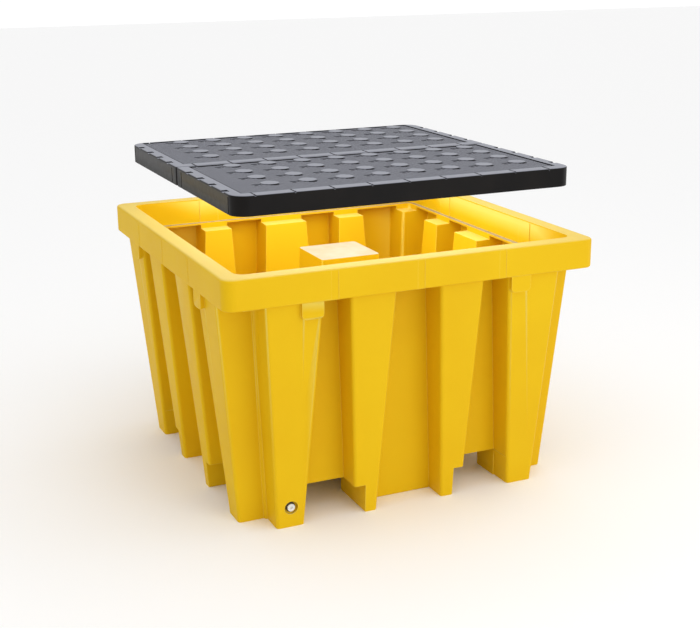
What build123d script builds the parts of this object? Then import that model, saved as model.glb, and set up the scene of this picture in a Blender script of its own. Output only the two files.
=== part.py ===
from build123d import *
import os

# Spill containment pallet: a one-piece moulded sump with fork pockets, a two-piece
# lift-off grid deck and a screwed drain. Millimetres, +Z up, origin on the floor
# under the middle of the sump. The two deck halves are held above the rim.

# ---- sump moulding: overall sizes ----
tub_width = 1410.0            # outside of the square rim
tub_height = 935.0            # floor to the top of the rim
wall = 8.0                    # moulded wall
panel_inset_low = 179.0       # outside of the rim to the outside of a wall panel, at the floor
panel_inset_high = 135.0      # and under the rim, because the panels lean outwards
core_radius = 14.0

# ---- rim ----
rim_height = 106.0            # outside height of the rim band
rim_width = 63.0              # hollow band, outside to inside
rim_corner_radius = 42.0
opening_corner_radius = 40.0
rim_top_radius = 9.0
rim_foot_radius = 6.0
seat_strip = 20.0             # ledge that runs all round under the deck's edge
block_drop = 23.0             # tops of the wall blocks and the pillar below that ledge
vent_radius = 6.0             # moulding vents under the hollow rim
lug_width = 78.0              # lugs that hang below the rim band
lug_drop = 57.0
lug_depth = 30.0
lug_inset = 307.0             # outside of the rim's end to the middle of a lug
lug_radius = 16.0
groove_width = 27.0           # shallow upright grooves in the rim band
groove_depth = 1.5
groove_pitch = 320.0
guide_width = 80.0            # low pads inside the rim that centre the deck
guide_depth = 2.5
guide_offset = 320.0          # from the middle of a side
guide_top = 6.0               # below the rim's top

# ---- ribs on each side, at the floor (low) and under the rim (high) ----
rib_inset_low = 85.0          # outside of the rim to a rib's face
rib_inset_high = 15.0
rib_root = 81.0               # how far a rib's body starts behind the wall panel
rib_radius = 12.0
inner_rib_low = (130.0, 216.0)       # near and far edge, from the middle of the side
inner_rib_high = (84.0, 256.0)
outer_rib_inset_low = (294.0, 190.0)    # near and far edge, from the outside of the rim's end
outer_rib_inset_high = (351.0, 142.0)

# ---- fork pockets: two each way, through the sump ----
pocket_inner = 178.0          # middle of the sump to a pocket's near side
pocket_inset = 301.0          # outside of the rim to a pocket's far side
pocket_height = 108.0

# ---- centre pillar ----
pillar_width = 240.0          # square top under the middle of the deck
pillar_radius = 14.0
pillar_draft = 2.5            # degrees
pillar_web = 22.0             # kissed-off wall round the foot of the pillar

# ---- deck ----
deck_thickness = 68.0
guide_clearance = 1.5         # deck to the guide pads, each side
deck_split = 4.0              # between the two halves
deck_corner_easing = 16.0     # the deck's corners are this much rounder than the opening's
deck_split_radius = 8.0
deck_edge_radius = 4.0
deck_plate = 8.0
deck_skirt = 8.0
deck_web = 6.0
deck_raise = 187.0            # underside of the deck above the rim's top, as stored
hole_radius = 10.0
hole_pitch_x = 138.0
hole_pitch_y = 131.0
hole_shift = -12.0            # middle of the deck to the middle of the hole grid, along X
hole_margin = 62.0            # rear edge of a half to its first row of holes
hole_border = 60.0            # side edge to the nearest place for an upright web
hole_front_border = 100.0     # front edge of a half to the nearest place for a row of holes

# ---- drain, in the foot of the left corner rib of the front ----
drain_height = 75.0
barrel_radius = 15.0
barrel_clearance = 0.2
barrel_wall = 4.5
barrel_end = 3.0              # fitting beyond its nut
flange_rim = 2.5              # flange beyond the barrel, all round
flange_thickness = 4.0
flange_clearance = 7.5        # flange to the side of its recess
boss_wall = 18.0              # wall left behind the recess
gasket_thickness = 2.0
nut_wall = 4.0
nut_thickness = 12.0
thread_clearance = 0.05
thread_pitch = 1.814
thread_turns = 7
washer_thickness = 1.8
washer_width = 2.7
plug_gap = 0.1                # washer to flange, and washer to plug head
plug_head_rim = 0.3           # plug head beyond its washer
plug_head_thickness = 6.0
plug_socket_flats = 10.0
plug_socket_depth = 4.0

# ---- derived places ----
rim_outer = tub_width / 2
rim_inner = rim_outer - rim_width
rim_bottom = tub_height - rim_height
panel_low = rim_outer - panel_inset_low
panel_high = rim_outer - panel_inset_high
rib_face_low = rim_outer - rib_inset_low
rib_face_high = rim_outer - rib_inset_high
rib_back = panel_low - rib_root
outer_rib_low = tuple(rim_outer - inset for inset in outer_rib_inset_low)
outer_rib_high = tuple(rim_outer - inset for inset in outer_rib_inset_high)
lug_offset = rim_outer - lug_inset
seat_height = rim_bottom + wall
seat_inner = rim_inner - seat_strip
block_top = seat_height - block_drop
recess_corner_radius = opening_corner_radius - seat_strip
side_angles = (0, 90, 180, 270)
hands = (-1, 1)
rib_kinds = ((inner_rib_low, inner_rib_high), (outer_rib_low, outer_rib_high))
deck_width = 2 * (rim_inner - guide_depth - guide_clearance)
deck_depth = (deck_width - deck_split) / 2
deck_base = tub_height + deck_raise
deck_corner_radius = opening_corner_radius + deck_corner_easing
hole_columns = 2 * int((deck_width / 2 - hole_border) / hole_pitch_x)
hole_rows = int((deck_depth - hole_margin - hole_front_border) / hole_pitch_y) + 1
pocket_outer = rim_outer - pocket_inset
pocket_middle = (pocket_inner + pocket_outer) / 2
pocket_width = pocket_outer - pocket_inner


def at_height(low, high, height):
    """A length at a height, for one that changes evenly from the floor to the rim."""
    return low + (high - low) * height / rim_bottom


def sketch_core(height, inset):
    """The square between the wall panels at a height, moved in by the inset."""
    width = 2 * (at_height(panel_low, panel_high, height) - inset)
    RectangleRounded(width, width, core_radius - inset)


def rib_outline(kind, height, inset):
    """Near edge, far edge and face of a rib at a height, all moved in by the inset."""
    low, high = kind
    near = at_height(low[0], high[0], height) + inset
    far = at_height(low[1], high[1], height) - inset
    return near, far, at_height(rib_face_low, rib_face_high, height) - inset


def sketch_rib(outline, hand, radius):
    """A rib's rectangle with rounded face corners, its face looking along -Y."""
    near, far, face = outline
    with Locations((hand * (near + far) / 2, -(rib_back + face) / 2)):
        Rectangle(far - near, face - rib_back)
    fillet(vertices().group_by(Axis.Y)[0], radius)


def side_plane(angle, height=0.0):
    """A level plane turned so that its -Y looks out of one side of the sump."""
    return Plane.XY.offset(height).rotated((0, 0, angle))


# Everything that liquid fills: the core, the ribs and the feet, and the shallow recess
# between the wall blocks' tops and the ledge.
with BuildPart() as core_space:
    for height in (wall, rim_bottom):
        with BuildSketch(Plane.XY.offset(height)):
            sketch_core(height, wall)
    loft()
    with BuildSketch(Plane.XY.offset(block_top)):
        RectangleRounded(2 * seat_inner, 2 * seat_inner, recess_corner_radius)
    extrude(amount=block_drop)
    for angle in side_angles:
        for kind in rib_kinds:
            for hand in hands:
                for height in (wall, rim_bottom):
                    with BuildSketch(side_plane(angle, height)):
                        sketch_rib(rib_outline(kind, height, wall), hand, rib_radius - wall)
                loft()

# The drain's sizes and places, along its axis out of the wall of the left corner rib.
bore_radius = barrel_radius - barrel_wall
flange_radius = barrel_radius + flange_rim
recess_radius = flange_radius + flange_clearance
boss_radius = recess_radius + wall
washer_radius = bore_radius + washer_width
plug_head_radius = washer_radius + plug_head_rim
barrel_length = boss_wall + nut_thickness + barrel_end
flange_face = gasket_thickness + flange_thickness
washer_base = flange_face + plug_gap
head_base = washer_base + washer_thickness + plug_gap
recess_depth = head_base + plug_head_thickness
thread_length = thread_pitch * thread_turns + plug_gap
drain_reach = sum(at_height(outer_rib_low[i], outer_rib_high[i], drain_height) for i in (0, 1)) / 2
drain_face = at_height(rib_face_low, rib_face_high, drain_height)
recess_floor = drain_face - recess_depth
drain_plane = Plane(origin=(-drain_reach, -recess_floor, drain_height), x_dir=(1, 0, 0), z_dir=(0, -1, 0))

# What stands up inside that space: pocket tunnels, the pillar and its foot.
with BuildPart() as tunnels:
    with BuildSketch():
        for hand in hands:
            with Locations((hand * pocket_middle, 0)):
                Rectangle(pocket_width + 2 * wall, tub_width)
            with Locations((0, hand * pocket_middle)):
                Rectangle(tub_width, pocket_width + 2 * wall)
    extrude(amount=pocket_height + wall)

with BuildPart() as pillar_body:
    with BuildSketch(Plane.XY.offset(block_top)):
        RectangleRounded(pillar_width, pillar_width, pillar_radius)
    extrude(amount=-(block_top - pocket_height), taper=-pillar_draft)

pillar_foot = pillar_body.part.bounding_box().size.X

with BuildPart() as pillar_foot_block:
    with BuildSketch():
        Rectangle(pillar_foot + 2 * pillar_web, pillar_foot + 2 * pillar_web)
    extrude(amount=pocket_height + wall)

with BuildPart() as pillar_hollow:
    with BuildSketch(Plane.XY.offset(block_top - wall)):
        RectangleRounded(pillar_width - 2 * wall, pillar_width - 2 * wall, pillar_radius - wall)
    extrude(amount=-(block_top - wall), taper=-pillar_draft)

with BuildPart() as liquid_space:
    add(core_space.part)
    add(tunnels.part, mode=Mode.SUBTRACT)
    add(pillar_body.part, mode=Mode.SUBTRACT)
    add(pillar_foot_block.part, mode=Mode.SUBTRACT)
    with BuildSketch(drain_plane.offset(-boss_wall)):
        Circle(boss_radius)
    extrude(amount=boss_wall + recess_depth, mode=Mode.SUBTRACT)

# The hollow rim band, its lugs and grooves.
hollow_inside = 2 * (rim_inner + wall)

with BuildPart() as rim_band:
    with BuildSketch(Plane.XY.offset(rim_bottom)):
        RectangleRounded(tub_width, tub_width, rim_corner_radius)
    extrude(amount=rim_height)
    fillet(faces().sort_by(Axis.Z)[-1].edges(), rim_top_radius)
    fillet(faces().sort_by(Axis.Z)[0].edges(), rim_foot_radius)
    for angle in side_angles:
        with BuildSketch(Plane.XZ.rotated((0, 0, angle)).offset(rim_outer)):
            for position in (-groove_pitch, 0, groove_pitch):
                with Locations((position, rim_bottom + rim_height / 2)):
                    Rectangle(groove_width, rim_height)
        extrude(amount=-groove_depth, mode=Mode.SUBTRACT)
        with BuildSketch(Plane.XZ.rotated((0, 0, angle)).offset(rim_outer - rim_foot_radius / 2)):
            for hand in hands:
                with Locations((hand * lug_offset, rim_bottom + wall - (lug_drop + wall) / 2)):
                    Rectangle(lug_width, lug_drop + wall)
            fillet(vertices().group_by(Axis.Y)[0], lug_radius)
        extrude(amount=-lug_depth)

with BuildPart() as rim_hollow:
    with BuildSketch(Plane.XY.offset(seat_height)):
        RectangleRounded(tub_width - 2 * wall, tub_width - 2 * wall, rim_corner_radius - wall)
        RectangleRounded(hollow_inside, hollow_inside, opening_corner_radius, mode=Mode.SUBTRACT)
    extrude(amount=rim_height - 2 * wall)
    with BuildSketch(Plane.XY.offset(rim_bottom - wall)):
        with PolarLocations((rim_inner + rim_outer) / 2, len(side_angles)):
            Circle(vent_radius)
    extrude(amount=3 * wall)

shelf_width = 2 * (seat_inner + wall)

with BuildPart() as sump_tub:
    for height in (0.0, rim_bottom):
        with BuildSketch(Plane.XY.offset(height)):
            sketch_core(height, 0.0)
    loft()
    for angle in side_angles:
        for kind in rib_kinds:
            for hand in hands:
                for height in (0.0, rim_bottom):
                    with BuildSketch(side_plane(angle, height)):
                        sketch_rib(rib_outline(kind, height, 0.0), hand, rib_radius)
                loft()
    add(rim_band.part)
    with BuildSketch(Plane.XY.offset(block_top - wall)):
        RectangleRounded(shelf_width, shelf_width, recess_corner_radius + wall)
    extrude(amount=rim_bottom - block_top + wall)
    with BuildSketch(Plane.XY.offset(seat_height)):
        RectangleRounded(2 * rim_inner, 2 * rim_inner, opening_corner_radius)
    extrude(amount=rim_height, mode=Mode.SUBTRACT)
    for angle in side_angles:
        with BuildSketch(side_plane(angle, seat_height)):
            for hand in hands:
                with Locations((hand * guide_offset, -rim_inner + guide_depth / 2)):
                    Rectangle(guide_width, guide_depth)
        extrude(amount=tub_height - guide_top - seat_height)
    add(liquid_space.part, mode=Mode.SUBTRACT)
    add(rim_hollow.part, mode=Mode.SUBTRACT)
    add(pillar_hollow.part, mode=Mode.SUBTRACT)
    with BuildSketch():
        for hand in hands:
            with Locations((hand * pocket_middle, 0)):
                Rectangle(pocket_width, tub_width)
            with Locations((0, hand * pocket_middle)):
                Rectangle(tub_width, pocket_width)
    extrude(amount=pocket_height, mode=Mode.SUBTRACT)
    with BuildSketch(drain_plane):
        Circle(recess_radius)
    extrude(amount=2 * recess_depth, mode=Mode.SUBTRACT)
    with BuildSketch(drain_plane):
        Circle(barrel_radius + barrel_clearance)
    extrude(amount=-2 * boss_wall, mode=Mode.SUBTRACT)
sump_tub.part.label = "sump_tub"

# ---- drain: flanged fitting through the wall, its gasket and nut, washer and plug ----

with BuildPart() as drain_fitting:
    with BuildSketch(drain_plane.offset(gasket_thickness)):
        Circle(flange_radius)
    extrude(amount=flange_thickness)
    with BuildSketch(drain_plane.offset(gasket_thickness)):
        Circle(barrel_radius)
    extrude(amount=-(gasket_thickness + barrel_length))
    with BuildSketch(drain_plane.offset(flange_face)):
        Circle(bore_radius)
    extrude(amount=-(flange_face + barrel_length), mode=Mode.SUBTRACT)
drain_fitting.part.label = "drain_fitting"

with BuildPart() as fitting_gasket:
    with BuildSketch(drain_plane):
        Circle(flange_radius)
        Circle(barrel_radius + barrel_clearance, mode=Mode.SUBTRACT)
    extrude(amount=gasket_thickness)
fitting_gasket.part.label = "fitting_gasket"

with BuildPart() as fitting_nut:
    with BuildSketch(drain_plane.offset(-boss_wall)):
        RegularPolygon(barrel_radius + nut_wall, 6, major_radius=False)
        Circle(barrel_radius + barrel_clearance, mode=Mode.SUBTRACT)
    extrude(amount=-nut_thickness)
fitting_nut.part.label = "fitting_nut"

with BuildPart() as plug_washer:
    with BuildSketch(drain_plane.offset(washer_base)):
        Circle(washer_radius)
        Circle(bore_radius, mode=Mode.SUBTRACT)
    extrude(amount=washer_thickness)
plug_washer.part.label = "plug_washer"

with BuildPart() as drain_plug:
    with BuildSketch(drain_plane.offset(head_base)):
        Circle(plug_head_radius)
    extrude(amount=plug_head_thickness)
    fillet(faces().filter_by(Axis.Y).sort_by(Axis.Y)[0].edges(), plug_head_thickness / 6)
    with BuildSketch(drain_plane.offset(head_base)):
        Circle(bore_radius - thread_clearance)
    extrude(amount=-(head_base - flange_face + thread_length))
    with BuildSketch(drain_plane.offset(head_base + plug_head_thickness)):
        RegularPolygon(plug_socket_flats / 2, 6, major_radius=False)
    extrude(amount=-plug_socket_depth, mode=Mode.SUBTRACT)
drain_plug.part.label = "drain_plug"

# ---- deck halves: a holed plate on a skirt, stiffened by webs between the holes ----
deck_middle = (deck_depth + deck_split) / 2
web_height = deck_thickness - deck_plate
deck_halves = {}

for name, centre in (("deck_front", -deck_middle), ("deck_rear", deck_middle)):
    rear_edge = centre + deck_depth / 2
    holes_middle = rear_edge - hole_margin - (hole_rows - 1) * hole_pitch_y / 2
    with BuildPart() as deck_half:
        with BuildSketch(Plane.XY.offset(deck_base)):
            with Locations((0, centre)):
                Rectangle(deck_width, deck_depth)
            fillet(vertices().sort_by(lambda corner: abs(corner.Y))[-2:], deck_corner_radius)
            fillet(vertices().sort_by(lambda corner: abs(corner.Y))[:2], deck_split_radius)
        extrude(amount=deck_thickness)
        fillet(faces().sort_by(Axis.Z)[-1].edges(), deck_edge_radius)
        with BuildSketch(Plane.XY.offset(deck_base)):
            with Locations((0, centre)):
                Rectangle(deck_width - 2 * deck_skirt, deck_depth - 2 * deck_skirt)
            fillet(vertices().sort_by(lambda corner: abs(corner.Y))[-2:], deck_corner_radius - deck_skirt)
            for column in range(hole_columns + 1):
                with Locations((hole_shift + (column - hole_columns / 2) * hole_pitch_x, centre)):
                    Rectangle(deck_web, deck_depth, mode=Mode.SUBTRACT)
            for row in range(hole_rows):
                with Locations((0, rear_edge - hole_margin - (row + 0.5) * hole_pitch_y)):
                    Rectangle(deck_width, deck_web, mode=Mode.SUBTRACT)
        extrude(amount=web_height, mode=Mode.SUBTRACT)
        with BuildSketch(Plane.XY.offset(deck_base + web_height)):
            with Locations((hole_shift, holes_middle)):
                with GridLocations(hole_pitch_x, hole_pitch_y, hole_columns, hole_rows):
                    Circle(hole_radius)
        extrude(amount=deck_plate, mode=Mode.SUBTRACT)
    deck_half.part.label = name
    deck_halves[name] = deck_half.part

# ---- one file for each piece ----
pieces = {
    "sump_tub": sump_tub.part,
    "drain_fitting": drain_fitting.part,
    "fitting_gasket": fitting_gasket.part,
    "fitting_nut": fitting_nut.part,
    "plug_washer": plug_washer.part,
    "drain_plug": drain_plug.part,
    **deck_halves,
}
os.makedirs("parts", exist_ok=True)
for name, piece in pieces.items():
    export_step(piece, f"parts/{name}.step")

# Room for liquid, to the ledge and to the brim, and how far the deck and plug travel.
opening_volume = (2 * rim_inner) ** 2 * (tub_height - seat_height)
print(f"sump to the ledge {liquid_space.part.volume / 1e6:.0f} litres")
print(f"sump to the brim {(liquid_space.part.volume + opening_volume) / 1e6:.0f} litres")
print(f"deck drop to its seat {deck_base - seat_height:.1f} mm")
print(f"plug travel {thread_pitch * thread_turns:.3f} mm")
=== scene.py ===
import logging
import math
from dataclasses import dataclass
from enum import Enum
from typing import Callable, Sequence

import bmesh
import bpy
from mathutils import Matrix, Vector


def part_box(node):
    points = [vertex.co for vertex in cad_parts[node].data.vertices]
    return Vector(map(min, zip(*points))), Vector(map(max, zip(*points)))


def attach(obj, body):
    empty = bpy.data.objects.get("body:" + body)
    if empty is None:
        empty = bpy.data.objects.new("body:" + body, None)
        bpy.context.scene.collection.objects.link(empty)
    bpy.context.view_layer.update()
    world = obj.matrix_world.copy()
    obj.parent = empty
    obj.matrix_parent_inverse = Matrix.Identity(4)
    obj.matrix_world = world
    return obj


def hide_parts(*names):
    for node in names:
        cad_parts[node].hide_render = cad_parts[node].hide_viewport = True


# A spill containment pallet: a yellow moulded sump, its black two-piece grid deck held
# above the rim, and a screwed drain. Metres, +Z up, origin on the floor under the sump.

LOG = logging.getLogger("spill_pallet")
MERGE_DISTANCE = 1e-5
FLAT_ANGLE = math.radians(0.5)    # faces this close to one plane become one face
SMOOTH_ANGLE = math.radians(12)   # steps up to this angle are shaded as one surface
OVERCUT = 0.01                    # how far a cutting tool reaches past what it cuts
TOP_SLACK = 0.0001                # an edge this close under the top counts as a top edge
FACING_UP = 0.9                   # least upward share of the normal of a face on top

# Places of the sockets on the colour mix node.
MIX_SHARE, MIX_UNDER, MIX_OVER, MIX_RESULT = 0, 6, 7, 2

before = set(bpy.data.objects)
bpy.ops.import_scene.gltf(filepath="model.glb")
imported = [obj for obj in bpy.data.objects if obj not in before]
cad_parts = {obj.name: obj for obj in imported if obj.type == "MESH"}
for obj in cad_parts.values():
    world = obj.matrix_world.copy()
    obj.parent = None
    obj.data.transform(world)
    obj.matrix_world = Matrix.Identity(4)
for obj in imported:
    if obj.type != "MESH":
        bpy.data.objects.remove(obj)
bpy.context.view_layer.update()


class Part(Enum):
    """Kinds of mesh element that a selection can hold."""

    EDGE = (False, True, False)
    FACE = (False, False, True)


# ---- bench tools: one thing is selected at a time ----
def only(piece: bpy.types.Object) -> None:
    """Leaves one object selected and active, in object mode.

    Args:
        piece: The object to work on.
    """
    if bpy.context.object and bpy.context.object.mode != "OBJECT":
        bpy.ops.object.mode_set(mode="OBJECT")
    bpy.ops.object.select_all(action="DESELECT")
    piece.select_set(True)
    bpy.context.view_layer.objects.active = piece


def clear_selection() -> None:
    """Deselects everything, the CAD nodes included."""
    if bpy.context.object and bpy.context.object.mode != "OBJECT":
        bpy.ops.object.mode_set(mode="OBJECT")
    bpy.ops.object.select_all(action="DESELECT")


def settle(piece: bpy.types.Object) -> None:
    """Puts an object's place and size into its mesh.

    Args:
        piece: The object, which ends at the origin, unturned and unscaled.
    """
    only(piece)
    bpy.ops.object.transform_apply(location=True, rotation=True, scale=True)


def block(name: str, low: Sequence[float], high: Sequence[float]) -> bpy.types.Object:
    """Adds a box.

    Args:
        name: Name of the new object.
        low: Lowest corner.
        high: Highest corner.

    Returns:
        The new object, with its place in its mesh.
    """
    clear_selection()
    low, high = Vector(low), Vector(high)
    bpy.ops.mesh.primitive_cube_add(size=1.0, location=(low + high) / 2)
    piece = bpy.context.object
    piece.name = name
    piece.scale = high - low
    settle(piece)
    return piece


def disc(name: str, foot: Sequence[float], radius: float, height: float, sides: int) -> bpy.types.Object:
    """Adds an upright round.

    Args:
        name: Name of the new object.
        foot: Middle of its underside.
        radius: Its radius.
        height: Its height.
        sides: Number of sides.

    Returns:
        The new object, with its place in its mesh.
    """
    clear_selection()
    middle = Vector(foot) + Vector((0, 0, height / 2))
    bpy.ops.mesh.primitive_cylinder_add(vertices=sides, radius=radius, depth=height, location=middle)
    piece = bpy.context.object
    piece.name = name
    settle(piece)
    return piece


def choose(piece: bpy.types.Object, part: Part, test: Callable) -> int:
    """Opens edit mode with the elements that pass a test selected.

    Args:
        piece: The object to edit.
        part: Whether edges or faces are tested.
        test: Says whether one element is wanted.

    Returns:
        How many were selected.
    """
    only(piece)
    bpy.ops.object.mode_set(mode="EDIT")
    bpy.context.tool_settings.mesh_select_mode = part.value
    bpy.ops.mesh.select_all(action="DESELECT")
    shell = bmesh.from_edit_mesh(piece.data)
    wanted = [e for e in (shell.edges if part is Part.EDGE else shell.faces) if test(e)]
    for element in wanted:
        element.select_set(True)
    bmesh.update_edit_mesh(piece.data)
    return len(wanted)


def above(height: float) -> Callable:
    """Makes a test for edges that lie above a height."""
    return lambda edge: all(corner.co.z > height for corner in edge.verts)


def round_edges(piece: bpy.types.Object, test: Callable, width: float, segments: int) -> None:
    """Rounds the edges that pass a test.

    Args:
        piece: The object to edit.
        test: Says whether an edge is wanted.
        width: How far the round reaches from the edge.
        segments: Steps in the round.
    """
    if choose(piece, Part.EDGE, test):
        bpy.ops.mesh.bevel(offset=width, segments=segments, profile=0.5, affect="EDGES")
    bpy.ops.object.mode_set(mode="OBJECT")


def repeat(piece: bpy.types.Object, count: int, step: Sequence[float]) -> None:
    """Repeats a mesh in a row, inside its own object.

    Args:
        piece: The object to repeat.
        count: How many there are in the end.
        step: Way from one to the next.
    """
    only(piece)
    row = piece.modifiers.new("row", "ARRAY")
    row.use_relative_offset = False
    row.use_constant_offset = True
    row.constant_offset_displace = step
    row.count = count
    bpy.ops.object.modifier_apply(modifier=row.name)


def smooth(piece: bpy.types.Object) -> None:
    """Shades a piece smooth across its finest steps while its large faces stay flat.

    Args:
        piece: The object to shade.
    """
    only(piece)
    bpy.ops.object.shade_smooth_by_angle(angle=SMOOTH_ANGLE)


def cut_out(body: bpy.types.Object, tool: bpy.types.Object) -> None:
    """Cuts one shape out of another and clears the tool away.

    Args:
        body: The object that is cut.
        tool: The closed shape to take out of it.
    """
    only(body)
    cut = body.modifiers.new("cut", "BOOLEAN")
    cut.operation = "DIFFERENCE"
    cut.solver = "EXACT"
    cut.object = tool
    bpy.ops.object.modifier_apply(modifier=cut.name)
    bpy.data.objects.remove(tool, do_unlink=True)


def merged_copy(node: str, name: str) -> bpy.types.Object:
    """Copies a CAD node's mesh and joins its loose triangles.

    Args:
        node: The CAD node.
        name: Name of the copy.

    Returns:
        The new object.
    """
    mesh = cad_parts[node].data.copy()
    mesh.materials.clear()
    piece = bpy.data.objects.new(name, mesh)
    bpy.context.scene.collection.objects.link(piece)
    choose(piece, Part.FACE, lambda face: True)
    bpy.ops.mesh.remove_doubles(threshold=MERGE_DISTANCE)
    bpy.ops.mesh.dissolve_limited(angle_limit=FLAT_ANGLE)
    bpy.ops.object.mode_set(mode="OBJECT")
    return piece


def joined(name: str, pieces: Sequence[bpy.types.Object]) -> bpy.types.Object:
    """Joins several objects into the first one.

    Args:
        name: Name of the result.
        pieces: What to join.

    Returns:
        The joined object.
    """
    only(pieces[0])
    for piece in pieces[1:]:
        piece.select_set(True)
    bpy.ops.object.join()
    pieces[0].name = name
    return pieces[0]


# ---- finishes ----
@dataclass(frozen=True)
class MouldedPlastic:
    """Satin moulded plastic with slow colour drift, a fine skin, a painted highlight along its edges and a
    painted highlight on faces that look up.

    Attributes:
        name: Name of the material.
        colour: Main colour, linear.
        drift: Colour where the moulding runs darker, linear.
        edge: Colour of the painted highlight along edges, linear.
        edge_highlight: How strongly the painted edge highlight shows, 0 to 1.
        edge_highlight_reach: How far the painted edge highlight reaches from an edge, in metres.
        roughness: Middle of the roughness.
        roughness_spread: How far roughness strays either way.
        drift_scale: Patches of drift in a metre.
        skin_scale: Grains of the skin in a metre.
        skin_depth: Height of the skin, in metres.
        ior: Refractive index.
        gloss: Strength of the surface's reflection, where 0.5 is what its index gives.
        scatter: Share of light that passes under the skin.
        top_highlight: Colour of the painted highlight on faces that look up, linear.
        top_highlight_share: How strongly that painted highlight shows, 0 to 1.
        scatter_depth: How far light travels under the skin, in metres.
        patch_span: Noise values at which the drift starts and is full.
        ridge_samples: Rays that look for an edge.
        ridge_span: Match of rounded and true normal at which the painted edge highlight starts and is full.
        upward_span: Upward share of the normal at which the painted top highlight starts and is full.
        wear_per_drift: Patches of wear to one patch of drift.
        skin_strength: Strength of the skin's bump, 0 to 1.
    """

    name: str
    colour: tuple[float, float, float]
    drift: tuple[float, float, float]
    edge: tuple[float, float, float]
    edge_highlight: float = 0.5
    edge_highlight_reach: float = 0.004
    roughness: float = 0.42
    roughness_spread: float = 0.06
    drift_scale: float = 3.0
    skin_scale: float = 420.0
    skin_depth: float = 0.0003
    ior: float = 1.5
    gloss: float = 0.5
    scatter: float = 0.0
    top_highlight: tuple[float, float, float] = (0.80, 0.70, 0.42)
    top_highlight_share: float = 0.0
    scatter_depth: float = 0.01
    patch_span: tuple[float, float] = (0.35, 0.7)
    ridge_samples: int = 4
    ridge_span: tuple[float, float] = (0.985, 0.80)
    upward_span: tuple[float, float] = (0.55, 0.98)
    wear_per_drift: float = 9.0
    skin_strength: float = 0.6

    def build(self) -> bpy.types.Material:
        """Makes the node material.

        Returns:
            The new material.
        """
        material = bpy.data.materials.new(self.name)
        material.use_nodes = True
        tree = material.node_tree
        shader = tree.nodes["Principled BSDF"]
        shader.inputs["IOR"].default_value = self.ior
        shader.inputs["Specular IOR Level"].default_value = self.gloss
        shader.inputs["Subsurface Weight"].default_value = self.scatter
        shader.inputs["Subsurface Scale"].default_value = self.scatter_depth
        place = tree.nodes.new("ShaderNodeTexCoord").outputs["Object"]
        tree.links.new(self._colour(tree, place), shader.inputs["Base Color"])
        tree.links.new(self._worn_roughness(tree, place), shader.inputs["Roughness"])
        tree.links.new(self._skin(tree, place), shader.inputs["Normal"])
        return material

    def _colour(self, tree: bpy.types.NodeTree, place: bpy.types.NodeSocket) -> bpy.types.NodeSocket:
        """Makes the drifting colour with a painted highlight along its edges and a painted highlight on
        faces that look up.

        Args:
            tree: The material's nodes.
            place: Where the surface is read.

        Returns:
            The colour.
        """
        patches = self._noise(tree, place, self.drift_scale, detail=3.0)
        body = self._over(tree, self._span(tree, patches, self.patch_span), self.colour, self.drift)
        surface = tree.nodes.new("ShaderNodeNewGeometry")
        # Painted highlight: edges turn paler where the rounded normal strays from the true one.
        rounded = tree.nodes.new("ShaderNodeBevel")
        rounded.samples = self.ridge_samples
        rounded.inputs["Radius"].default_value = self.edge_highlight_reach
        match = tree.nodes.new("ShaderNodeVectorMath")
        match.operation = "DOT_PRODUCT"
        tree.links.new(rounded.outputs["Normal"], match.inputs[0])
        tree.links.new(surface.outputs["True Normal"], match.inputs[1])
        ridge = self._span(tree, match.outputs["Value"], self.ridge_span, self.edge_highlight)
        edge_highlight = self._over(tree, ridge, body, self.edge)
        # Painted highlight: faces that look up turn paler, standing in for the light they catch from above;
        # on the deck it is a painted sheen of reflected light.
        lean = tree.nodes.new("ShaderNodeSeparateXYZ")
        tree.links.new(surface.outputs["Normal"], lean.inputs["Vector"])
        upward = self._span(tree, lean.outputs["Z"], self.upward_span, self.top_highlight_share)
        return self._over(tree, upward, edge_highlight, self.top_highlight)

    def _worn_roughness(self, tree: bpy.types.NodeTree,
                        place: bpy.types.NodeSocket) -> bpy.types.NodeSocket:
        """Makes the roughness, which strays in worn patches.

        Args:
            tree: The material's nodes.
            place: Where the surface is read.

        Returns:
            The roughness.
        """
        wear = self._noise(tree, place, self.drift_scale * self.wear_per_drift, detail=4.0)
        rough = tree.nodes.new("ShaderNodeMapRange")
        tree.links.new(wear, rough.inputs["Value"])
        rough.inputs["To Min"].default_value = self.roughness - self.roughness_spread
        rough.inputs["To Max"].default_value = self.roughness + self.roughness_spread
        return rough.outputs["Result"]

    def _skin(self, tree: bpy.types.NodeTree, place: bpy.types.NodeSocket) -> bpy.types.NodeSocket:
        """Makes the fine grain of the moulded skin.

        Args:
            tree: The material's nodes.
            place: Where the surface is read.

        Returns:
            The normal with the grain in it.
        """
        bump = tree.nodes.new("ShaderNodeBump")
        bump.inputs["Strength"].default_value = self.skin_strength
        bump.inputs["Distance"].default_value = self.skin_depth
        tree.links.new(self._noise(tree, place, self.skin_scale, detail=2.0), bump.inputs["Height"])
        return bump.outputs["Normal"]

    @staticmethod
    def _noise(tree: bpy.types.NodeTree, place: bpy.types.NodeSocket, scale: float,
               detail: float) -> bpy.types.NodeSocket:
        """Adds a noise.

        Args:
            tree: The material's nodes.
            place: Where it is read.
            scale: Its patches in a metre.
            detail: How many finer layers it has.

        Returns:
            Its value.
        """
        noise = tree.nodes.new("ShaderNodeTexNoise")
        noise.inputs["Scale"].default_value = scale
        noise.inputs["Detail"].default_value = detail
        tree.links.new(place, noise.inputs["Vector"])
        return noise.outputs["Fac"]

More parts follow.
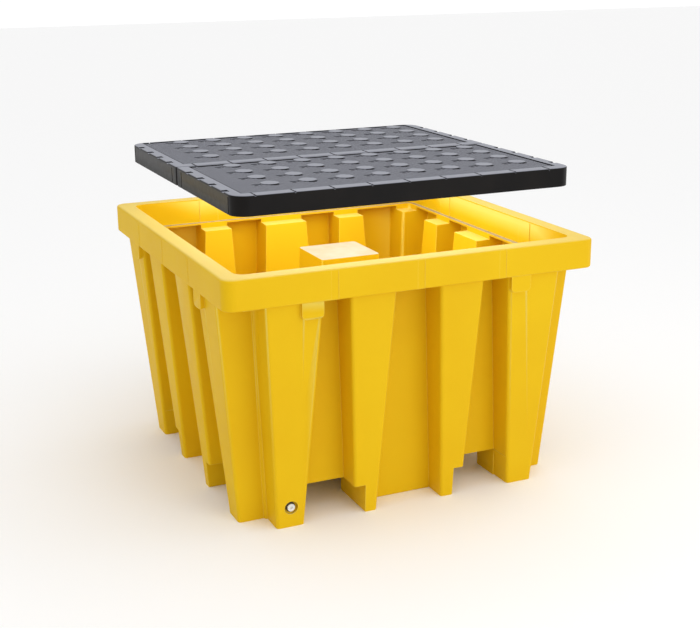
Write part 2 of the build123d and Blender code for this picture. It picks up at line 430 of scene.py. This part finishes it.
    @staticmethod
    def _span(tree: bpy.types.NodeTree, value: bpy.types.NodeSocket, limits: tuple[float, float],
              top: float = 1.0) -> bpy.types.NodeSocket:
        """Stretches a value between two limits.

        Args:
            tree: The material's nodes.
            value: What is stretched.
            limits: The values that become 0 and the top.
            top: The highest result.

        Returns:
            The stretched value.
        """
        span = tree.nodes.new("ShaderNodeMapRange")
        span.inputs["From Min"].default_value, span.inputs["From Max"].default_value = limits
        span.inputs["To Max"].default_value = top
        tree.links.new(value, span.inputs["Value"])
        return span.outputs["Result"]

    @staticmethod
    def _over(tree: bpy.types.NodeTree, share: bpy.types.NodeSocket,
              under: bpy.types.NodeSocket | Sequence[float],
              colour: Sequence[float]) -> bpy.types.NodeSocket:
        """Lays a colour over another by a share.

        Args:
            tree: The material's nodes.
            share: How much of the colour shows.
            under: What it is laid over, which is a node's colour or a fixed one.
            colour: The colour, linear.

        Returns:
            The result.
        """
        mix = tree.nodes.new("ShaderNodeMix")
        mix.data_type = "RGBA"
        tree.links.new(share, mix.inputs[MIX_SHARE])
        if isinstance(under, bpy.types.NodeSocket):
            tree.links.new(under, mix.inputs[MIX_UNDER])
        else:
            mix.inputs[MIX_UNDER].default_value = (*under, 1.0)
        mix.inputs[MIX_OVER].default_value = (*colour, 1.0)
        return mix.outputs[MIX_RESULT]


# Its edge and top colours are painted highlights.
SUMP_YELLOW = MouldedPlastic(
    "sump_yellow", colour=(0.78, 0.495, 0.006), drift=(0.75, 0.455, 0.005), edge=(0.93, 0.76, 0.16),
    edge_highlight=0.5, roughness=0.50, drift_scale=2.2, ior=1.40, gloss=0.14, top_highlight=(0.90, 0.76, 0.26),
    top_highlight_share=0.40)
# Painted highlight: a paler copy of the sump's plastic that stands in for the light on the pillar's top.
PILLAR_TOP_HIGHLIGHT = MouldedPlastic(
    "pillar_top_highlight", colour=(0.46, 0.385, 0.26), drift=(0.42, 0.33, 0.19), edge=(0.52, 0.45, 0.30),
    drift_scale=14.0, roughness=0.5, gloss=0.2)
# Its top colour is a painted bluish sheen of reflected light, its edge colour a painted highlight.
DECK_BLACK = MouldedPlastic(
    "deck_black", colour=(0.003, 0.0026, 0.0028), drift=(0.007, 0.0055, 0.0048), edge=(0.06, 0.06, 0.065),
    edge_highlight=0.5, roughness=0.42, gloss=0.28, drift_scale=6.0, skin_scale=300.0, ior=1.30,
    top_highlight=(0.42, 0.435, 0.51), top_highlight_share=0.60)
# The edge colours of the drain's finishes are painted highlights.
FITTING_DARK = MouldedPlastic(
    "fitting_dark", colour=(0.030, 0.022, 0.016), drift=(0.040, 0.030, 0.020), edge=(0.10, 0.08, 0.06))
SEAL_BLACK = MouldedPlastic(
    "seal_black", colour=(0.012, 0.012, 0.012), drift=(0.018, 0.018, 0.018), edge=(0.03, 0.03, 0.03),
    edge_highlight=0.2, roughness=0.75, skin_depth=0.0001)
PLUG_WHITE = MouldedPlastic(
    "plug_white", colour=(0.78, 0.77, 0.74), drift=(0.70, 0.69, 0.65), edge=(0.88, 0.87, 0.84),
    roughness=0.35, scatter=0.1)


def dress(piece: bpy.types.Object, material: bpy.types.Material) -> None:
    """Gives a piece one material.

    Args:
        piece: The piece.
        material: What covers it.
    """
    if piece.material_slots:
        for slot in piece.material_slots:
            slot.material = material
    else:
        piece.data.materials.append(material)


# ---- deck ----
@dataclass
class DeckHalf:
    """One half of the deck: a holed plate on a skirt, with a studded tread on top.

    Attributes:
        node: The CAD node it stands for, and its body.
        hole_pitch: Distance between drain holes, across and front to back.
        hole_shift: Middle of the deck to the middle of the holes.
        hole_margin: Rear edge to the first row of holes.
        columns: Drain holes in a row.
        rows: Rows of drain holes.
        hole_radius: Radius of a drain hole.
        tread_depth: How deep the tread's floor lies below the border.
        side_border: Width of the border at the two ends.
        front_border: Width of the border at the front.
        rear_border: Width of the border at the rear.
        notch_width: Width of the notches across the border.
        notch_rise: How far the notches' floor lies above the tread's floor.
        root: How deep studs and ribs are set into the tread's floor.
        stud_radius: Radius of the round studs.
        stud_round: Reach of the round on a stud's top edge.
        stud_sides: Sides of a stud.
        stud_offset: Drain hole to the middle of its stud.
        rib_pitch: Distance between the fine ribs.
        rib_width: Width of a fine rib.
        rib_height: Height of a fine rib.
        rib_slope: Reach of the slope on a rib's top edges.
        rib_clearance: Gap between a drain hole and a broken rib.
        channel: Gap between the ribs' ends and the border.
        side_notch: Width of the notches in the two end borders.
        slot_radius: Radius of the round that opens the crescent slots.
        slot_offset: Middle of a stud to the middle of that round.
        slot_sides: Sides of that round.
        groove_width: Width of the upright grooves in the ends.
        groove_depth: Depth of those grooves.
        groove_top: Top edge to the top of a groove.
        split_groove: Split edge to the nearest groove.
        corner_groove: Outer edge to the nearest groove.
    """

    node: str
    hole_pitch: tuple[float, float] = (0.138, 0.131)
    hole_shift: float = -0.012
    hole_margin: float = 0.062
    columns: int = 8
    rows: int = 4
    hole_radius: float = 0.010
    tread_depth: float = 0.005
    side_border: float = 0.042
    front_border: float = 0.050
    rear_border: float = 0.012
    notch_width: float = 0.006
    notch_rise: float = 0.001
    root: float = 0.001
    stud_radius: float = 0.033
    stud_round: float = 0.0022
    stud_sides: int = 40
    stud_offset: tuple[float, float] = (0.052, 0.015)
    rib_pitch: float = 0.0131
    rib_width: float = 0.0080
    rib_height: float = 0.0030
    rib_slope: float = 0.0014
    rib_clearance: float = 0.004
    channel: float = 0.006
    side_notch: float = 0.030
    slot_radius: float = 0.018
    slot_offset: tuple[float, float] = (0.006, -0.030)
    slot_sides: int = 24
    groove_width: float = 0.007
    groove_depth: float = 0.003
    groove_top: float = 0.010
    split_groove: float = 0.057
    corner_groove: float = 0.060

    def __post_init__(self) -> None:
        """Reads the half's corners from its CAD node and works out its floors."""
        self.low, self.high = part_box(self.node)
        self.floor = self.high.z - self.tread_depth
        self.notch_floor = self.floor + self.notch_rise

    def build(self) -> bpy.types.Object:
        """Models the half and puts it in place of its CAD node.

        Returns:
            The finished piece.
        """
        body = merged_copy(self.node, f"{self.node}_moulding")
        self._cut_tread(body)
        self._cut_end_grooves(body)
        ribs = self._ribs()
        for part in (body, *ribs):
            cut_out(part, self._slots())
        piece = joined(f"{self.node}_moulding", [body, self._studs(), *ribs])
        smooth(piece)
        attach(piece, self.node)
        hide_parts(self.node)
        LOG.info("%s: %d faces", piece.name, len(piece.data.polygons))
        return piece

    def _hole_x(self, column: float) -> float:
        """Place of a column of holes, which may lie between two."""
        return self.hole_shift + (column - (self.columns - 1) / 2) * self.hole_pitch[0]

    def _hole_y(self, row: float) -> float:
        """Place of a row of holes, which may lie between two."""
        return self.high.y - self.hole_margin - row * self.hole_pitch[1]

    def _cut_tread(self, body: bpy.types.Object) -> None:
        """Sinks the tread's floor and cuts the notches.

        Args:
            body: The plate to cut.
        """
        top = self.high.z + OVERCUT
        cut_out(body, block(
            "floor_cut",
            (self.low.x + self.side_border, self.low.y + self.front_border, self.floor),
            (self.high.x - self.side_border, self.high.y - self.rear_border, top)))
        half = self.notch_width / 2
        first_x, first_y = self._hole_x(-0.5), self._hole_y(self.rows - 0.5)
        for low_y, high_y in ((self.low.y - OVERCUT, self.low.y + self.front_border + half),
                              (self.high.y - self.rear_border - half, self.high.y + OVERCUT)):
            notch = block("notch_cut", (first_x - half, low_y, self.notch_floor),
                          (first_x + half, high_y, top))
            repeat(notch, self.columns + 1, (self.hole_pitch[0], 0, 0))
            cut_out(body, notch)
        for low_x, high_x in ((self.low.x - OVERCUT, self.low.x + self.side_border / 2),
                              (self.high.x - self.side_border / 2, self.high.x + OVERCUT)):
            notch = block("side_notch_cut", (low_x, first_y - self.side_notch / 2, self.notch_floor),
                          (high_x, first_y + self.side_notch / 2, top))
            repeat(notch, self.rows, (0, self.hole_pitch[1], 0))
            cut_out(body, notch)

    def _cut_end_grooves(self, body: bpy.types.Object) -> None:
        """Cuts the upright grooves in the two ends.

        Args:
            body: The plate to cut.
        """
        split, outer = sorted((self.low.y, self.high.y), key=abs)
        inward = math.copysign(1.0, outer)
        depth, half = self.groove_depth, self.groove_width / 2
        for middle in (split + inward * self.split_groove, outer - inward * self.corner_groove):
            for side in (self.low.x, self.high.x):
                cut_out(body, block("groove_cut", (side - depth, middle - half, self.low.z - OVERCUT),
                                    (side + depth, middle + half, self.high.z - self.groove_top)))

    def _slots(self) -> bpy.types.Object:
        """Models the tool that opens a crescent at the front of every stud.

        Returns:
            The tool, for all the studs.
        """
        reach = 2 * self.tread_depth
        foot = (self._hole_x(0) + self.stud_offset[0] + self.slot_offset[0],
                self._hole_y(self.rows - 1) + self.stud_offset[1] + self.slot_offset[1],
                self.floor - reach)
        tool = disc("slots", foot, self.slot_radius, 2 * reach, self.slot_sides)
        repeat(tool, self.columns, (self.hole_pitch[0], 0, 0))
        repeat(tool, self.rows, (0, self.hole_pitch[1], 0))
        return tool

    def _studs(self) -> bpy.types.Object:
        """Models the round studs, one beside each hole.

        Returns:
            One object that holds them all.
        """
        foot = (self._hole_x(0) + self.stud_offset[0], self._hole_y(self.rows - 1) + self.stud_offset[1],
                self.floor - self.root)
        stud = disc("studs", foot, self.stud_radius, self.tread_depth + self.root, self.stud_sides)
        round_edges(stud, above(self.high.z - TOP_SLACK), self.stud_round, segments=2)
        repeat(stud, self.columns, (self.hole_pitch[0], 0, 0))
        repeat(stud, self.rows, (0, self.hole_pitch[1], 0))
        return stud

    def _rib(self, start: float, end: float, middle: float) -> bpy.types.Object:
        """Models one fine rib with sloped top edges.

        Args:
            start: Its lower X.
            end: Its higher X.
            middle: Its middle in Y.

        Returns:
            The rib.
        """
        half = self.rib_width / 2
        top = self.floor + self.rib_height
        rib = block("rib", (start, middle - half, self.floor - self.root), (end, middle + half, top))
        round_edges(rib, above(top - TOP_SLACK), self.rib_slope, segments=1)
        return rib

    def _ribs(self) -> list[bpy.types.Object]:
        """Models the fine ribs, broken where they would cross a hole.

        Returns:
            One object for each group of equal ribs.
        """
        start = self.low.x + self.side_border + self.channel
        end = self.high.x - self.side_border - self.channel
        # Two ribs run through each row of holes and are broken. The next ones beside them are whole.
        between = round(self.hole_pitch[1] / self.rib_pitch) - 2
        beside = 1.5 * self.rib_pitch
        groups = []
        whole = self._rib(start, end, self._hole_y(self.rows - 1) + beside)
        repeat(whole, between, (0, self.rib_pitch, 0))
        repeat(whole, self.rows - 1, (0, self.hole_pitch[1], 0))
        groups.append(whole)
        front = self._rib(start, end, self._hole_y(self.rows - 1) - beside)
        room = self._hole_y(self.rows - 1) - self.low.y - self.front_border - self.channel
        repeat(front, int(room / self.rib_pitch - 1), (0, -self.rib_pitch, 0))
        groups.append(front)
        rear = self._rib(start, end, self._hole_y(0) + beside)
        room = self.hole_margin - self.rear_border - self.channel
        repeat(rear, int(room / self.rib_pitch - 1), (0, self.rib_pitch, 0))
        groups.append(rear)
        clear = self.hole_radius + self.rib_clearance
        spans = [(start, self._hole_x(0) - clear), (self._hole_x(self.columns - 1) + clear, end)]
        inner = (self._hole_x(0) + clear, self._hole_x(1) - clear)
        for side in (-0.5, 0.5):
            middle = self._hole_y(self.rows - 1) + side * self.rib_pitch
            for low, high in spans:
                piece = self._rib(low, high, middle)
                repeat(piece, self.rows, (0, self.hole_pitch[1], 0))
                groups.append(piece)
            piece = self._rib(*inner, middle)
            repeat(piece, self.columns - 1, (self.hole_pitch[0], 0, 0))
            repeat(piece, self.rows, (0, self.hole_pitch[1], 0))
            groups.append(piece)
        return groups


# ---- sump and drain ----
@dataclass
class Sump:
    """The moulded sump, softened along its edges.

    Attributes:
        node: The CAD node it stands for.
        body: The body it rides on.
        softness: Reach of the round on its long sharp edges.
        sharp_angle: Turn from which an edge counts as sharp, in degrees.
        shortest_edge: Length from which an edge counts as long.
        smallest_face: Area under which a face belongs to a fine groove.
        pillar_half: Half the width of the pillar's top.
        pillar_foot: A height above everything on the pillar but its top.
        slot: Name of the record's finish for it; not used.
    """

    node: str = "sump_tub"
    body: str = "sump"
    softness: float = 0.003
    sharp_angle: float = 40.0
    shortest_edge: float = 0.05
    smallest_face: float = 0.0006
    pillar_half: float = 0.125
    pillar_foot: float = 0.5
    slot: str = "sump_plastic"

    def build(self) -> bpy.types.Object:
        """Models the moulding with soft edges and covers it.

        Returns:
            The finished piece.
        """
        piece = merged_copy(self.node, "sump_moulding")
        edges = len(piece.data.edges)
        round_edges(piece, self._is_moulded_edge, self.softness, segments=2)
        piece.data.materials.clear()
        for finish in (SUMP_YELLOW, PILLAR_TOP_HIGHLIGHT):
            piece.data.materials.append(finish.build())
        # Painted highlight: the pillar's flat top takes the paler copy of the plastic.
        if choose(piece, Part.FACE, self._is_pillar_top):
            piece.active_material_index = 1
            bpy.ops.object.material_slot_assign()
        bpy.ops.object.mode_set(mode="OBJECT")
        smooth(piece)
        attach(piece, self.body)
        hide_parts(self.node)
        LOG.info("%s: %d edges became %d faces", piece.name, edges, len(piece.data.polygons))
        return piece

    def _is_pillar_top(self, face: bmesh.types.BMFace) -> bool:
        """Says whether a face is the flat top of the centre pillar.

        Args:
            face: The face.

        Returns:
            Whether it is.
        """
        middle = face.calc_center_median()
        inside = max(abs(middle.x), abs(middle.y)) < self.pillar_half
        return inside and face.normal.z > FACING_UP and middle.z > self.pillar_foot

    def _is_moulded_edge(self, edge: bmesh.types.BMEdge) -> bool:
        """Says whether an edge is long, sharp, outward and clear of the fine grooves.

        Args:
            edge: The edge.

        Returns:
            Whether the mould would leave it rounded.
        """
        if len(edge.link_faces) != 2 or edge.calc_length() < self.shortest_edge:
            return False
        if min(face.calc_area() for face in edge.link_faces) < self.smallest_face:
            return False
        return edge.is_convex and edge.calc_face_angle(0.0) > math.radians(self.sharp_angle)


@dataclass
class Drain:
    """The drain's pieces, which keep their CAD shapes."""

    def dress(self) -> None:
        """Covers each piece of the drain."""
        dark, seal = FITTING_DARK.build(), SEAL_BLACK.build()
        covers = {"drain_fitting": dark, "fitting_nut": dark, "fitting_gasket": seal,
                  "plug_washer": seal, "drain_plug": PLUG_WHITE.build()}
        for node, cover in covers.items():
            dress(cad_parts[node], cover)
            LOG.info("%s: dressed", node)


# ---- studio ----
@dataclass(frozen=True)
class Softbox:
    """A square soft light that the camera doesn't see.

    Attributes:
        name: Name of the light.
        place: Where it hangs.
        aim: What it points at.
        size: Its side.
        power: Its power in watts.
        shine: How strongly it shows in gloss, 0 to 1.
    """

    name: str
    place: tuple[float, float, float]
    aim: tuple[float, float, float]
    size: float
    power: float
    shine: float = 1.0

    def hang(self) -> None:
        """Adds the light to the scene."""
        data = bpy.data.lights.new(self.name, "AREA")
        data.shape = "SQUARE"
        data.size = self.size
        data.energy = self.power
        data.specular_factor = self.shine
        light = bpy.data.objects.new(self.name, data)
        bpy.context.scene.collection.objects.link(light)
        light.location = self.place
        light.visible_camera = False
        ahead = Vector(self.aim) - Vector(self.place)
        light.rotation_euler = ahead.to_track_quat("-Z", "Y").to_euler()


TOP_LIGHT = Softbox("top_light", place=(-0.6, -1.4, 4.2), aim=(0, 0, 0.6), size=3.0, power=20.0)
FRONT_LIGHT = Softbox("front_light", place=(1.4, -4.4, 1.5), aim=(0, 0, 0.8), size=2.8, power=26.0)
INNER_FILL = Softbox("inner_fill", place=(0, 0, 1.115), aim=(0, 0, 0), size=1.15, power=11.0, shine=0.0)


@dataclass
class Studio:
    """A pale floor, soft lights and the camera.

    Attributes:
        camera_place: Where the camera stands.
        yaw: Its turn to the right of +Y, in degrees.
        pitch: Its tilt down, in degrees.
        roll: Its turn about its own axis, in degrees.
        lens: Focal length in millimetres, on a sensor 36 mm wide.
        floor_half: Half the width of the floor.
        floor_gap: Gap between the floor and the object's feet.
        floor_foot: How far down the floor's underside lies.
        sky_left: Light that the surroundings give from the left.
        sky_right: Light that they give from the right.
        sky_reach: How far to either side that light changes, as a share of the way there.
        sky_seen: Brightness of the surroundings to look at.
    """

    camera_place: tuple[float, float, float] = (-1.897, -4.373, 1.947)
    yaw: float = 23.95
    pitch: float = 16.28
    roll: float = -0.49
    lens: float = 64.5
    floor_half: float = 30.0
    floor_gap: float = 0.0002
    floor_foot: float = 0.02
    sky_left: float = 0.76
    sky_right: float = 1.14
    sky_reach: float = 0.7
    sky_seen: float = 1.05

    def build(self) -> None:
        """Makes the floor, the lights and the camera."""
        self._floor()
        self._camera()
        for light in (TOP_LIGHT, FRONT_LIGHT, INNER_FILL):
            light.hang()
        self._sky()
        bpy.context.scene.view_settings.view_transform = "Standard"

    def _sky(self) -> None:
        """Surrounds the studio with white that is even to look at and gives a softer light."""
        world = bpy.data.worlds.new("studio")
        bpy.context.scene.world = world
        world.use_nodes = True
        tree = world.node_tree
        glow = tree.nodes["Background"]
        glow.inputs["Color"].default_value = (1.0, 1.0, 1.0, 1.0)
        way = tree.nodes.new("ShaderNodeSeparateXYZ")
        tree.links.new(tree.nodes.new("ShaderNodeTexCoord").outputs["Generated"], way.inputs["Vector"])
        span = tree.nodes.new("ShaderNodeMapRange")
        span.inputs["From Min"].default_value = -self.sky_reach
        span.inputs["From Max"].default_value = self.sky_reach
        span.inputs["To Min"].default_value = self.sky_left
        span.inputs["To Max"].default_value = self.sky_right
        tree.links.new(way.outputs["X"], span.inputs["Value"])
        tree.links.new(span.outputs["Result"], glow.inputs["Strength"])
        seen = tree.nodes.new("ShaderNodeBackground")
        seen.inputs["Color"].default_value = (1.0, 1.0, 1.0, 1.0)
        seen.inputs["Strength"].default_value = self.sky_seen
        direct = tree.nodes.new("ShaderNodeLightPath").outputs["Is Camera Ray"]
        choice = tree.nodes.new("ShaderNodeMixShader")
        tree.links.new(direct, choice.inputs[0])
        tree.links.new(glow.outputs[0], choice.inputs[1])
        tree.links.new(seen.outputs[0], choice.inputs[2])
        tree.links.new(choice.outputs[0], tree.nodes["World Output"].inputs["Surface"])

    def _floor(self) -> None:
        """Lays the floor just under the object."""
        half = self.floor_half
        floor = block("floor", (-half, -half, -self.floor_foot), (half, half, -self.floor_gap))
        material = bpy.data.materials.new("floor_white")
        material.use_nodes = True
        shader = material.node_tree.nodes["Principled BSDF"]
        shader.inputs["Base Color"].default_value = (0.98, 0.98, 0.98, 1.0)
        shader.inputs["Roughness"].default_value = 0.9
        shader.inputs["Specular IOR Level"].default_value = 0.1
        dress(floor, material)

    def _camera(self) -> None:
        """Stands the camera up and makes it the scene's."""
        yaw, pitch, roll = (math.radians(a) for a in (self.yaw, self.pitch, self.roll))
        ahead = Vector((math.sin(yaw) * math.cos(pitch), math.cos(yaw) * math.cos(pitch), -math.sin(pitch)))
        right = Vector((math.cos(yaw), -math.sin(yaw), 0.0))
        up = right.cross(ahead)
        level = right * math.cos(roll) + up * math.sin(roll)
        upright = up * math.cos(roll) - right * math.sin(roll)
        turn = Matrix((level, upright, -ahead)).transposed()
        data = bpy.data.cameras.new("camera")
        data.lens = self.lens
        camera = bpy.data.objects.new("camera", data)
        bpy.context.scene.collection.objects.link(camera)
        camera.matrix_world = Matrix.Translation(self.camera_place) @ turn.to_4x4()
        bpy.context.scene.camera = camera


def main() -> None:
    """Builds the object and its studio."""
    logging.basicConfig(level=logging.INFO, format="%(message)s")
    Sump().build()
    Drain().dress()
    black = DECK_BLACK.build()
    for node in ("deck_front", "deck_rear"):
        dress(DeckHalf(node).build(), black)
    Studio().build()


if __name__ == "__main__":
    main()
